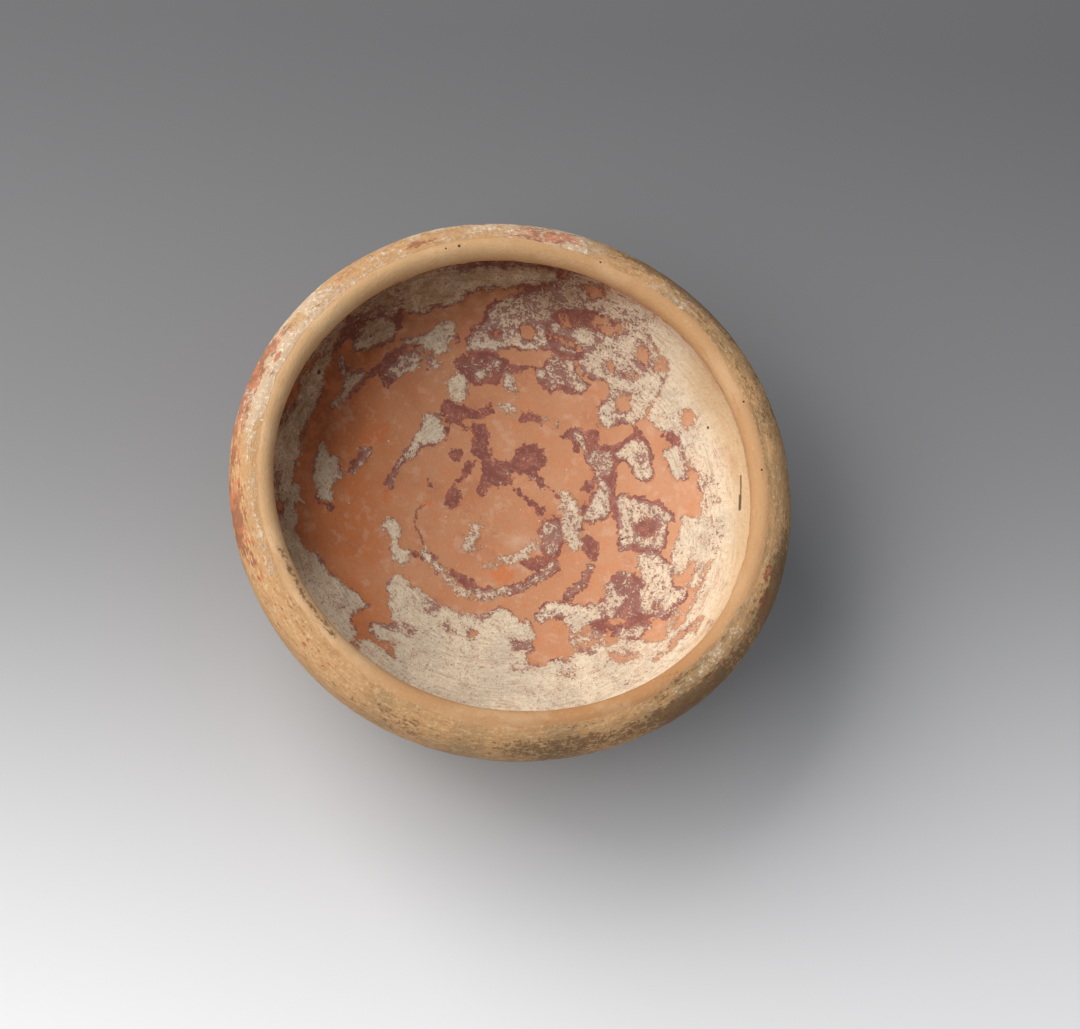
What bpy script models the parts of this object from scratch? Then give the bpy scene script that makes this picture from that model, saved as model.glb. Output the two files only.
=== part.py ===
"""A wheel-thrown earthenware bowl with an incurved lip, standing on its low foot ring.

Lengths are in metres and +Z is up. The origin is on the bowl's axis, level with the foot's underside.
"""

import math

import bmesh
import bpy
from mathutils import Vector

# Sizes of the whole bowl
BELLY_RADIUS = 0.0650        # widest point of the outside
HEIGHT = 0.0475              # from the foot's underside to the crest of the lip
SHOULDER_DROP = 0.0052       # from the crest down to the widest point of the outside
FLOOR_THICKNESS = 0.0060     # on the axis
WALL_THICKNESS = 0.0062      # at the belly

# Sizes of the lip, which leans in over the bowl's inside
LIP_WIDTH = 0.0098           # from the widest point of the outside in to the mouth
LIP_ROUNDING = 0.0030        # radius of the lip's inner edge
UNDERCUT_DROP = 0.0095       # from the crest down to the widest point of the inside

# Sizes of the foot
FOOT_RADIUS = 0.0270
FOOT_HEIGHT = 0.0045
FOOT_RING_WIDTH = 0.0050
FOOT_RECESS = 0.0035
FOOT_EDGE_WEAR = 0.0007      # radius of the ring's worn edges
FOOT_FILLET = 0.0015         # radius where the foot grows out of the wall

# How far the potter's hand left the lip from true, fading to nothing at the foot
OUT_OF_ROUND = 0.00017       # of each wave, and the waves add up at the bulge
ROUND_WAVES = (2, 3, 4, 5)
BULGE_TURN = math.radians(344)
OUT_OF_LEVEL = 0.00035
HIGH_SIDE = math.radians(110)

# How finely the curves are cut
TURN_STEPS = 80
INSIDE_STEPS = 15
LIP_STEPS = 5
SHOULDER_STEPS = 6
OUTSIDE_STEPS = 12
EDGE_STEPS = 2
MERGE_DISTANCE = 0.00001
SHARP_ANGLE = math.radians(50)

# Fired clay as it shows inside the bowl, in linear colour
CLAY_COLOUR = (0.515, 0.223, 0.114, 1.0)
CLAY_ROUGHNESS = 0.72


def arc(centre, reach, start, end, steps):
    """Points of an ellipse round centre, as (radius, height), between two angles in degrees."""
    points = []
    for step in range(steps + 1):
        angle = math.radians(start + (end - start) * step / steps)
        points.append((centre[0] + reach[0] * math.cos(angle), centre[1] + reach[1] * math.sin(angle)))
    return points


def undercut(low, high, steps):
    """Points of an S-curve from the widest point of the inside up to the mouth, upright at both ends."""
    lean = (high[1] - low[1]) / 2
    handles = ((low[0], low[1] + lean), (high[0], high[1] - lean))
    points = []
    for step in range(steps + 1):
        t = step / steps
        weights = ((1 - t) ** 3, 3 * t * (1 - t) ** 2, 3 * t * t * (1 - t), t**3)
        knots = (low, *handles, high)
        points.append(tuple(sum(w * knot[axis] for w, knot in zip(weights, knots)) for axis in (0, 1)))
    return points


def inside_profile():
    """From the middle of the floor, up the inside, to the mouth below the lip's rounding."""
    floor_height = FOOT_RECESS + FLOOR_THICKNESS
    widest = (BELLY_RADIUS - WALL_THICKNESS, HEIGHT - UNDERCUT_DROP)
    mouth = (BELLY_RADIUS - LIP_WIDTH, HEIGHT - LIP_ROUNDING)
    bowl = arc((0, widest[1]), (widest[0], widest[1] - floor_height), -90, 0, INSIDE_STEPS)
    return bowl + undercut(widest, mouth, LIP_STEPS)[1:]


def lip_profile():
    """Over the crest of the lip, from the mouth to the widest point of the outside."""
    crest_radius = BELLY_RADIUS - LIP_WIDTH + LIP_ROUNDING
    inner_edge = arc((crest_radius, HEIGHT - LIP_ROUNDING), (LIP_ROUNDING, LIP_ROUNDING), 180, 90, LIP_STEPS)
    shoulder_reach = (BELLY_RADIUS - crest_radius, SHOULDER_DROP)
    shoulder = arc((crest_radius, HEIGHT - SHOULDER_DROP), shoulder_reach, 90, 0, SHOULDER_STEPS)
    return inner_edge[1:] + shoulder[1:]


def outside_profile():
    """Down the outside, from the widest point to the fillet above the foot."""
    shoulder_height = HEIGHT - SHOULDER_DROP
    foot_share = (FOOT_RADIUS + FOOT_FILLET) / BELLY_RADIUS
    depth = (shoulder_height - FOOT_HEIGHT) / math.sqrt(1 - foot_share**2)
    foot_angle = -math.degrees(math.acos(foot_share))
    return arc((0, shoulder_height), (BELLY_RADIUS, depth), 0, foot_angle, OUTSIDE_STEPS)[1:]


def foot_profile():
    """Down the foot, across the ring it stands on, and over the recess to the axis."""
    wear = FOOT_EDGE_WEAR
    inner_radius = FOOT_RADIUS - FOOT_RING_WIDTH
    fillet_centre = (FOOT_RADIUS + FOOT_FILLET, FOOT_HEIGHT - FOOT_FILLET)
    fillet = arc(fillet_centre, (FOOT_FILLET, FOOT_FILLET), 90, 180, EDGE_STEPS)[1:]
    outer_edge = arc((FOOT_RADIUS - wear, wear), (wear, wear), 0, -90, EDGE_STEPS)
    inner_edge = arc((inner_radius + wear, wear), (wear, wear), -90, -180, EDGE_STEPS)
    recess_corner = arc((inner_radius - wear, FOOT_RECESS - wear), (wear, wear), 0, 90, EDGE_STEPS)
    return fillet + outer_edge + inner_edge + recess_corner + [(0, FOOT_RECESS)]


def profile_object(points):
    """The profile as a chain of edges in the plane of +X and +Z."""
    mesh = bpy.data.meshes.new("bowl_profile")
    chain = bmesh.new()
    corners = [chain.verts.new((radius, 0, height)) for radius, height in points]
    for first, second in zip(corners, corners[1:]):
        chain.edges.new((first, second))
    chain.to_mesh(mesh)
    chain.free()
    return bpy.data.objects.new("bowl_profile", mesh)


def turned(profile, collection):
    """The closed mesh that the profile sweeps out round the axis."""
    collection.objects.link(profile)
    screw = profile.modifiers.new("turn", "SCREW")
    screw.steps = TURN_STEPS
    screw.render_steps = TURN_STEPS
    screw.use_merge_vertices = True
    screw.merge_threshold = MERGE_DISTANCE
    screw.use_smooth_shade = True
    shape = profile.evaluated_get(bpy.context.evaluated_depsgraph_get())
    mesh = bpy.data.meshes.new_from_object(shape)
    bpy.data.objects.remove(profile)
    return mesh


def throw_by_hand(mesh):
    """Leaves the lip a little out of round and out of level, and the foot true."""
    for vertex in mesh.vertices:
        turn = math.atan2(vertex.co.y, vertex.co.x)
        share = min(max((vertex.co.z - FOOT_HEIGHT) / (HEIGHT - FOOT_HEIGHT), 0), 1)
        radius = vertex.co.xy.length
        round_error = sum(math.cos(waves * (turn - BULGE_TURN)) for waves in ROUND_WAVES)
        new_radius = radius + OUT_OF_ROUND * share * round_error * radius / BELLY_RADIUS
        rise = OUT_OF_LEVEL * share**2 * math.cos(2 * (turn - HIGH_SIDE)) * radius / BELLY_RADIUS
        vertex.co = Vector((new_radius * math.cos(turn), new_radius * math.sin(turn), vertex.co.z + rise))


def clay():
    """Fired orange clay."""
    material = bpy.data.materials.new("earthenware")
    material.use_nodes = True
    shader = material.node_tree.nodes["Principled BSDF"]
    shader.inputs["Base Color"].default_value = CLAY_COLOUR
    shader.inputs["Roughness"].default_value = CLAY_ROUGHNESS
    shader.inputs["Metallic"].default_value = 0.0
    material.diffuse_color = CLAY_COLOUR
    return material


def make_bowl(collection):
    """The bowl, one piece of clay from the lip to the foot."""
    points = inside_profile() + lip_profile() + outside_profile() + foot_profile()
    mesh = turned(profile_object(points), collection)
    throw_by_hand(mesh)
    mesh.name = "bowl"
    mesh.shade_smooth()
    mesh.set_sharp_from_angle(angle=SHARP_ANGLE)
    mesh.materials.append(clay())
    bowl = bpy.data.objects.new("bowl", mesh)
    collection.objects.link(bowl)
    return bowl


def main():
    for obj in list(bpy.data.objects):
        bpy.data.objects.remove(obj)
    collection = bpy.data.collections.new("ceramic_bowl")
    bpy.context.scene.collection.children.link(collection)
    make_bowl(collection)


main()
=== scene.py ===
"""The look of a worn, painted earthenware bowl.

One dense surface stands for the turned solid. Its bare clay, its painted rings, the lime crust that lies
over them and the worn slip of its outside are fields kept on its points, and the material breaks their
edges up.
"""

import functools
import itertools
import math

import bpy
import numpy as np
from mathutils import Matrix, Vector


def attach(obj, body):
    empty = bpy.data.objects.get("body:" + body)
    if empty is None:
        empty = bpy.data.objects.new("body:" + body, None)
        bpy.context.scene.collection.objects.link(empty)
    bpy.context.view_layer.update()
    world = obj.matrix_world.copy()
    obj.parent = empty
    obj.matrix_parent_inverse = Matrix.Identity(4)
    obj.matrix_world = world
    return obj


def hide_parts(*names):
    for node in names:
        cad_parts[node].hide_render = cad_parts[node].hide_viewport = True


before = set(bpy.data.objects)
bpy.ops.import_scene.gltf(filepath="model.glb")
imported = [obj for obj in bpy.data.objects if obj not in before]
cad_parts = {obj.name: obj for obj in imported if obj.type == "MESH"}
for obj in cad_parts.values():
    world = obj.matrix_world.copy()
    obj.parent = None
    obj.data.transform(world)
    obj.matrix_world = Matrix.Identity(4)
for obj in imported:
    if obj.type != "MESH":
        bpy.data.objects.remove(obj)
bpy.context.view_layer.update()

# Sizes of the turned form, in metres, as in the solid
BELLY_RADIUS = 0.0650
HEIGHT = 0.0475
SHOULDER_DROP = 0.0052
FLOOR_THICKNESS = 0.0060
WALL_THICKNESS = 0.0062
LIP_WIDTH = 0.0098
LIP_ROUNDING = 0.0030
UNDERCUT_DROP = 0.0095
FOOT_RADIUS = 0.0270
FOOT_HEIGHT = 0.0045
FOOT_RING_WIDTH = 0.0050
FOOT_RECESS = 0.0035
FOOT_EDGE_WEAR = 0.0007
FOOT_FILLET = 0.0015
OUT_OF_ROUND = 0.00017
ROUND_WAVES = (2, 3, 4, 5)
BULGE_TURN = math.radians(344)
OUT_OF_LEVEL = 0.00035
HIGH_SIDE = math.radians(110)

# How closely the surface is divided: columns round it, the spacing of rows down the profile in metres, and
# the steps in which its curves are first drawn
COLUMNS = 480
INSIDE_SPACING = 0.00072
LIP_SPACING = 0.00050
OUTSIDE_SPACING = 0.00115
FOOT_SPACING = 0.0018
CURVE_STEPS = 200

# The camera looks down into the mouth, tilted off the bowl's axis and turned about its own line of sight
PHOTO_WIDTH = 1080
PHOTO_HEIGHT = 1029
SENSOR_WIDTH = 36.0
LENS = 101.6
VIEW_TILT = math.radians(21.84)
VIEW_ROLL = math.radians(24.3)
VIEW_DISTANCE = 0.700
AIM_HEIGHT = 0.040
AIM_RIGHT = 0.0062
AIM_UP = -0.0062

VIEW_BACK = np.array((0, -math.sin(VIEW_TILT), math.cos(VIEW_TILT)))
LEVEL_RIGHT = np.array((1.0, 0, 0))
LEVEL_UP = np.array((0, math.cos(VIEW_TILT), math.sin(VIEW_TILT)))
VIEW_RIGHT = math.cos(VIEW_ROLL) * LEVEL_RIGHT + math.sin(VIEW_ROLL) * LEVEL_UP
VIEW_UP = -math.sin(VIEW_ROLL) * LEVEL_RIGHT + math.cos(VIEW_ROLL) * LEVEL_UP
AIM = np.array((0, 0, AIM_HEIGHT)) + AIM_RIGHT * VIEW_RIGHT + AIM_UP * VIEW_UP
CAMERA_PLACE = AIM + VIEW_DISTANCE * VIEW_BACK

# The lip's groove, and how high the worn layers and the wheel's marks stand, in metres
GROOVE_RADIUS = 0.0594
GROOVE_DEPTH = 0.00018
GROOVE_WIDTH = 0.00045
CRUST_HEIGHT = 0.00024
CRUST_SWELL = 0.00022
GRAIN_HEIGHT = 0.00007
WHEEL_HEIGHT = 0.00009
SLIP_HEIGHT = 0.00020
AGE_HEIGHT = 0.00016

# Sides of the outside, as the turn of their middle in the photograph, their half width and the softness of
# their ends, all in degrees, each with its shares of red slip, cream slip and dark age
LEFT_SIDE = (172, 26, 20)
SIDES = (
    (LEFT_SIDE, (0, 0.52, 0)), ((120, 38, 16), (0.22, 0.60, 0)), ((66, 18, 20), (0.28, 0.42, 0.20)),
    ((38, 22, 14), (0, 0, 0.22)), ((12, 34, 22), (0, 0.22, 0.18)), ((322, 16, 12), (0.20, 0.30, 0.31)),
    ((298, 24, 44), (0, 0, 0.46)), ((218, 22, 18), (0.20, 0, 0.14)),
)

# In pixels of the photograph: the softness of a mark's edge, how far it can reach past its corners, the
# middle of the painted rings, and a place that no mark reaches
EDGE_SOFTNESS = 5.0
MARK_REACH = 16
RINGS_MIDDLE = (513, 488)
NOWHERE = -1e4
# The size of such a pixel at the bowl, in metres, and the radius that stands for every radius where noise
# is drawn out along the turning
PIXEL_SIZE = 0.0002313
TURNED_RADIUS = 0.012


def read_marks(text):
    """Marks out of a text, parted by semicolons, as (strength, corners), or (strength, width, corners).

    A mark's numbers are its strength from 0 to 1, its width if it is a stroke, and its corners as x,y in
    pixels of the photograph. Its other words are notes.
    """
    marks = []
    for mark in text.split(";"):
        words = [word for word in mark.split() if word[0].isdigit()]
        leading = [float(word) for word in words if "," not in word]
        corners = tuple(tuple(map(float, word.split(","))) for word in words if "," in word)
        marks.append((*leading, corners))
    return marks


# Lime crust inside: patches with a rim of paint, softer patches, and strokes along the rings
CRUST_PATCHES = read_marks("""
In the shade under the upper part of the lip:
0.92 398,276 420,268 470,268 530,267 556,272 560,284 520,285 500,288 465,291 460,303 440,307 415,311 402,308
397,290;
0.62 340,344 348,328 364,312 386,292 402,290 404,309 394,318 378,314 364,320 352,332;
0.74 297,394 300,374 310,353 323,336 338,321 356,306 378,293 398,281 402,296 386,304 368,311 352,321 342,334
333,349 322,354 312,366 304,382; 0.6 380,378 388,364 400,354 412,350 424,350 424,362 410,369 398,378;
0.9 353,352 355,338 364,323 378,315 392,318 397,328 391,339 378,345 367,351;
Down the left side, under the lip:
0.86 296,400 304,376 314,360 326,350 333,352 328,366 327,380 322,396 314,413 306,425 303,441 302,456 296,470
292,481 300,488 305,500 306,508 297,504 290,512 278,500 274,455 278,430;
0.9 288,492 297,506 296,530 302,544 313,551 321,560 328,572 337,579 347,586 358,593 364,602 368,607 359,610
351,616 354,626 359,634 356,646 340,640 322,622 306,600 294,576 284,548 280,515;
0.85 337,350 343,353 349,372 358,370 371,367 366,378 356,386 350,396 343,403 336,412 331,408 334,398 344,388
342,375 338,362;
0.95 321,441 327,442 329,455 335,451 340,458 338,468 344,477 336,483 335,495 330,503 321,500 314,492 312,480
311,468 313,457 318,449;
Upper left, between the two outer rings:
0.9 400,340 412,338 424,334 436,326 449,321 461,328 455,336 451,343 448,352 440,358 432,353 420,346 408,346;
0.85 390,382 397,375 401,368 410,363 421,361 421,367 411,373 400,379; 0.55 420,352 434,352 442,360 440,369
428,371 419,363;
0.92 442,387 449,379 458,373 465,378 467,392 465,404 458,404 451,398 447,389;
0.97 424,415 433,414 441,418 446,426 444,436 439,443 430,445 420,447 413,455 408,460 403,457 407,448 414,440
419,432 421,424;
Top, streaked along the turning:
0.6 478,325 486,316 491,308 500,300 520,292 536,288 556,286 570,268 592,274 606,282 606,318 590,313 560,310
556,322 548,328 555,338 552,350 535,352 518,348 500,350 484,351 470,350 466,341 470,332;
0.95 466,341 480,339 500,338 515,340 530,342 548,338 553,346 535,351 518,347 500,349 484,350 468,350;
0.62 546,330 556,312 590,311 606,316 604,336 594,346 592,358 575,357 556,352 549,341; 0.9 566,331 575,327
585,327 594,332 596,341 588,347 577,345 569,339;
0.36 455,368 458,359 470,354 482,351 496,350 502,356 518,362 516,370 505,372 500,379 490,381 480,385 470,381
460,375; 0.94 502,374 508,371 514,381 518,390 513,395 507,392 502,386; 0.96 474,371 482,369 485,376 480,382
474,379; 0.9 490,359 497,358 500,364 495,369 490,365; 0.98 497,409 502,405 510,404 516,408 513,413 504,414;
0.45 534,374 545,361 556,352 566,355 573,360 578,372 586,382 586,389 575,393 560,391 550,392 543,386
539,380; 0.95 533,372 540,368 547,373 545,380 538,379; 0.95 570,381 580,380 586,385 583,391 573,390; 0.95
568,361 575,361 574,379 568,378;
The middle:
0.97 384,525 389,516 396,518 402,526 403,534 399,541 402,547 410,550 412,558 408,563 400,565 393,558 390,550
390,540 386,533; 0.9 420,545 427,548 433,552 437,560 441,567 436,572 428,565 423,556;
0.5 540,525 546,519 556,518 563,526 566,536 563,546 560,556 552,562 545,560 540,550 538,538;
0.86 561,491 570,492 575,500 583,508 585,515 581,530 583,540 578,550 570,550 565,541 562,530 559,515
560,500;
Right of the middle, mottled with the paint under it:
0.74 592,345 600,335 600,318 606,284 622,288 640,298 658,314 644,330 655,345 665,360 668,378 660,395 652,405
645,416 634,424 622,422 612,430 600,428 596,412 604,400 606,385 592,378 580,372 576,362 588,356;
0.82 613,452 622,443 632,440 642,440 648,447 653,456 653,476 645,481 635,480 630,470 628,461 620,460;
0.55 580,443 590,449 600,450 610,450 616,462 614,476 608,482 600,478 592,470 586,458;
0.7 590,500 596,488 594,478 604,480 610,492 611,506 607,519 600,522 590,520 583,522 586,510;
0.56 566,632 580,627 596,625 606,633 611,642 600,651 584,655 572,652 567,643;
0.74 612,500 622,494 632,498 648,501 662,506 670,514 672,520 667,532 665,543 660,549 650,552 640,549 631,546
624,551 617,551 616,538 615,522 618,510;
0.72 634,556 645,552 660,552 670,560 676,572 680,588 690,592 686,604 676,606 668,612 662,618 650,616 640,614
634,606 640,596 643,588 640,576 636,566;
0.62 606,582 614,580 620,592 622,604 618,614 610,620 602,616 600,604 604,592;
0.77 540,613 548,604 562,602 575,606 590,606 604,604 604,618 592,622 582,630 578,638 570,640 564,630 562,621
550,618 540,622 532,619; 0.4 606,574 620,568 636,572 646,584 644,604 632,622 612,624 604,600; 0.6 610,634
618,626 630,626 640,620 652,622 646,634 636,641 612,641;
The right side, whole up to the lip:
0.97 642,330 656,314 666,318 682,334 700,354 716,372 731,400 742,430 750,466 753,500 751,540 742,573 732,598
716,626 692,650 662,672 620,692 580,709 556,711 556,662 584,652 602,646 618,640 632,641 652,642 664,634
668,620 676,610 690,602 690,590 681,586 675,572 670,558 671,545 678,530 680,515 699,516 699,490 694,470
684,455 678,436 662,432 655,425 650,412 656,398 668,376 664,358 652,344;
0.9 662,452 668,446 680,448 684,460 690,470 686,479 675,482 668,475 664,465;
The bottom, whole down to the lip:
0.97 354,652 361,642 371,640 385,650 395,657 394,641 380,639 371,629 374,622 386,626 394,629 390,613 388,600
387,583 392,575 400,573 410,582 422,590 432,598 442,606 452,610 465,613 480,617 490,614 498,609 508,611
515,619 527,622 536,631 538,641 532,651 531,660 536,666 560,658 562,713 520,714 480,711 440,700 404,684
380,670
""")
SOFT_CRUST_PATCHES = read_marks("""
0.64 459,543 465,532 473,521 483,516 485,528 482,540 478,550 468,553 460,550;
0.72 484,563 498,558 512,552 526,544 536,537 538,547 530,557 514,564 498,568 484,568
""")
CRUST_STROKES = read_marks("""
0.95 5 355,472 360,463 366,456 369,451; 0.95 2.5 362,448 370,448; 0.62 8 417,442 410,451 404,459 398,467
393,476 389,486; 0.66 12 437,567 447,577 458,588 472,594 488,595 503,593; 0.52 11 503,593 512,592 525,587
535,580 545,572 553,565; 0.52 10 590,566 584,580 576,589 567,597; 0.75 7 574,432 578,438 583,446 590,458
597,468 601,476; 0.8 5 545,418 553,421 556,426; 0.8 3 500,473 507,471; 0.8 3 492,481 500,482; 0.85 3 531,477
535,477
""")
# Where the crust has worn thin over paint
WORN_PATCHES = read_marks("""
0.8 554,312 575,311 598,317 608,325 606,333 590,330 566,327 556,322; 0.4 560,495 572,500 576,520 580,540
572,546 562,520; 1 423,611 430,603 439,606 441,612 431,616; 1 442,624 450,623 454,632 450,640 442,634; 0.9
397,622 406,623 414,632 417,641 406,638 398,631; 0.7 503,667 520,663 538,668 530,675 512,675; 0.5 466,650
478,648 482,656 470,660; 0.6 560,668 570,661 580,670 572,681 562,677; 0.9 508,640 530,636 539,647 528,656
512,653; 0.7 480,618 492,615 497,622 486,626; 0.45 698,468 716,466 722,490 716,520 702,514; 0.5 704,520
722,515 728,545 714,556 704,545; 0.6 606,650 622,645 638,650 634,665 616,667; 0.5 330,478 336,474 338,484
334,494 329,490; 0.5 432,330 446,325 452,334 440,340; 0.5 330,596 344,600 350,612 338,612; 0.5 634,448
644,446 648,460 642,474 634,466; 0.9 634,520 644,513 656,515 662,526 656,541 642,542 632,532
""")
# The painted cross, rings and blots, and the paint that shows beside the crust
PAINT_PATCHES = read_marks("""
The cross in the middle, between the two inner rings:
1 471,446 474,437 481,433 488,439 491,450 493,456 491,462 500,458 512,459 513,448 520,444 536,443 543,449
546,457 550,463 543,467 539,472 545,482 542,487 534,482 524,475 512,474 510,483 500,488 491,485 485,491
480,495 475,489 479,480 482,470 482,462 476,455;
1 452,484 457,478 461,470 465,462 472,459 480,463 475,468 468,472 462,479 456,484; 1 471,421 483,423 490,434
491,446 489,457 480,456 476,446 472,434; 1 449,455 451,449 459,448 463,454 459,461 451,461; 1 444,498
446,489 453,485 461,489 463,498 459,506 451,509 445,505; 0.9 425,486 429,474 433,486;
The inner ring, where it is whole:
0.9 533,500 540,501 545,508 546,515 541,519 535,514 532,506;
1 540,525 546,519 556,518 563,526 566,536 563,546 560,556 552,562 545,560 540,550 538,538; 1 521,563 530,557
545,556 558,560 560,568 553,575 543,576 533,571;
The second ring and the blots outside it:
1 516,420 520,413 530,411 538,415 542,422 530,424 520,424;
1 559,438 566,430 578,430 590,430 600,427 603,440 598,449 590,449 580,445 570,441; 0.9 571,446 578,444
582,450 576,453; 0.9 578,492 584,480 592,481 595,489 588,495; 1 582,535 590,537 603,540 604,552 596,560
586,560 582,548;
1 440,406 446,396 452,400 458,405 470,406 480,408 492,404 494,412 480,417 462,420 448,424 440,416;
1 455,368 458,359 470,354 482,351 496,350 502,356 518,362 538,364 534,370 516,371 505,372 500,380 500,386
490,385 480,387 470,382 460,376;
1 535,374 545,361 556,352 566,355 573,360 578,372 586,382 586,390 575,394 560,392 550,393 542,387 538,380;
0.9 578,362 588,358 600,372 592,380 582,374;
0.9 376,378 383,364 393,355 404,350 420,350 424,360 410,370 398,380 386,386; 0.8 450,344 454,334 462,331
464,342 458,347;
Under the crust of the right and lower right:
1 600,440 612,440 620,436 632,422 642,428 650,444 656,452 656,480 644,484 632,482 628,466 618,482 612,500
610,520 600,524 584,524 584,508 596,490 590,470 584,452; 1 652,444 656,436 668,433 677,437 682,448 676,454
668,446;
1 610,500 622,492 640,494 660,500 672,510 676,524 668,548 656,556 640,552 618,554 614,530;
1 612,576 620,570 632,571 641,580 646,566 640,552 660,552 672,560 676,580 690,594 686,606 664,620 640,618
630,624 620,616 602,622 598,600 604,586; 1 590,624 600,618 612,622 616,630 604,634 594,632; 1 610,636
618,624 636,616 654,622 646,636 632,642;
1 532,619 540,611 549,603 564,602 580,608 604,603 606,620 592,624 570,628 562,622 550,620 540,624;
0.8 600,300 620,290 645,305 650,330 660,380 640,420 612,432 600,428 596,410 606,384 590,376 590,346 600,330;
0.9 548,326 556,311 606,314 606,338 592,350 590,360 556,356 550,342;
0.95 478,325 488,306 500,299 520,291 556,285 570,266 606,280 606,318 560,326 556,350 520,352 470,352 464,340
470,330;
Under the lip:
0.9 398,276 420,266 500,258 560,266 562,286 500,290 465,292 440,308 400,311;
0.9 328,352 345,324 364,304 390,286 404,290 404,312 394,340 366,353 350,336 340,352; 0.55 278,468 288,464
292,476 289,492 283,500 278,488; 0.6 280,508 286,504 290,520 288,534 283,524
""")
PAINT_STROKES = read_marks("""
1 3.5 350,398 360,385 372,373 385,362 395,354 405,349 418,347; 1 8 352,470 357,462 361,455; 1 8 389,486
392,476 398,466 404,458 410,451 418,442; 1 5 457,421 465,427 474,431 482,434; 1 5 410,549 423,556 440,569; 1
9 452,572 462,579 472,586 478,590; 1 10 478,592 492,593 508,592 522,587 533,580 545,571; 1 5 515,489 522,495
530,500 535,506; 0.9 3.5 546,489 553,490 559,497; 0.9 4 570,504 578,504 584,510; 0.9 4 579,536 588,541
598,545; 1 9 591,566 585,580 576,590 566,598; 0.9 4 513,623 521,620 530,624 537,632 539,641 533,648 527,651;
0.9 4 490,614 499,609 508,610; 0.9 3 414,612 425,613 437,606; 0.9 5 425,612 436,608; 0.9 6 444,629 449,636;
0.8 2 400,626 407,632 415,638; 0.8 2 397,631 403,637; 0.95 5 315,496 321,502 328,505 333,508; 0.9 2.5
328,506 332,512 335,518; 0.8 4 334,452 339,458 338,466; 0.9 4 445,423 449,430 447,438; 0.8 3 590,520
584,527; 0.8 3 604,540 600,532 603,526; 0.8 3 662,500 672,508; 0.8 4 604,548 606,556
""")
# Bare clay among the crust, clay of a brighter orange, and clay hazy with thin crust
CLAY_PATCHES = read_marks("""
0.75 616,326 620,321 625,325 623,335 618,334; 0.8 635,348 642,345 648,350 648,362 643,366 636,358; 0.8
653,367 660,364 667,370 660,373 654,373; 0.75 602,366 609,362 616,368 614,375 606,372; 0.7 618,372 630,371
642,376 640,381 628,379; 0.8 598,384 604,381 609,390 608,399 600,399; 0.85 617,402 622,394 631,396 632,406
626,413 617,412; 0.85 683,413 692,411 700,416 697,424 687,428 684,420;
1 654,440 662,438 666,441 662,450 662,462 667,473 671,481 680,483 689,480 688,470 694,474 698,490 699,512
690,518 681,513 671,506 662,502 658,495 655,484 653,470 652,455; 1 618,470 625,462 631,470 632,485 624,487
618,482; 0.9 630,484 645,482 655,486 658,495 650,493 640,492 631,494;
1 601,522 612,516 617,524 616,545 620,553 632,551 632,562 622,568 612,572 606,580 598,582 602,560; 1 668,522
676,521 677,535 671,545 669,560 665,558 668,540; 1 693,557 696,566 691,578 685,586 676,586 674,579 683,570;
0.9 645,631 656,626 663,632 660,639 648,640; 0.8 650,600 657,600 659,609 652,610; 1 600,430 614,431 625,426
632,430 628,440 614,447 602,449; 1 640,420 646,420 652,430 653,441 649,446 645,438;
1 536,626 548,621 561,623 566,633 567,644 568,652 560,657 546,661 535,665 531,656 535,646 540,638; 0.85
519,328 529,326 538,332 534,340 524,340; 0.8 487,331 494,329 499,334 492,338; 0.95 583,287 590,284 601,288
600,296 590,296; 0.62 586,316 604,315 622,321 623,332 608,334 592,328; 0.55 560,313 574,314 584,324 572,330
560,326;
0.95 495,355 505,351 520,350 532,353 541,357 541,362 530,363 515,361 504,358; 0.85 467,631 473,629 477,634
475,640 469,638; 0.45 636,525 642,522 649,528 648,535 640,536
""")
CLAY_STROKES = read_marks("""
0.85 4 710,561 703,577 698,590; 0.95 6 699,586 692,602 681,616 675,627; 0.85 6 703,616 691,630 677,639
665,650 656,658; 0.9 4 552,335 564,340 574,347 581,351; 0.7 3 612,655 620,661 632,661 640,655
""")
BRIGHT_CLAY_PATCHES = read_marks("""
1 359,438 368,430 386,422 390,428 385,440 374,447 363,447; 0.5 336,492 346,486 352,500 348,520 338,512; 0.6
343,482 352,476 361,482 360,496 350,502 342,494; 1 492,568 500,565 516,566 514,580 506,587 494,584; 0.9
382,490 394,489 397,498 390,504 381,500; 0.8 421,498 433,496 436,505 428,510 420,506
""")
THIN_CRUST_PATCHES = read_marks("""
0.9 505,535 522,530 540,538 538,552 520,551 506,546; 0.7 612,650 636,648 638,661 616,664; 0.8 698,456
715,455 718,468 702,470; 0.6 686,552 698,556 696,574 688,572; 0.6 703,556 712,562 708,578 701,574
""")
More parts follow.
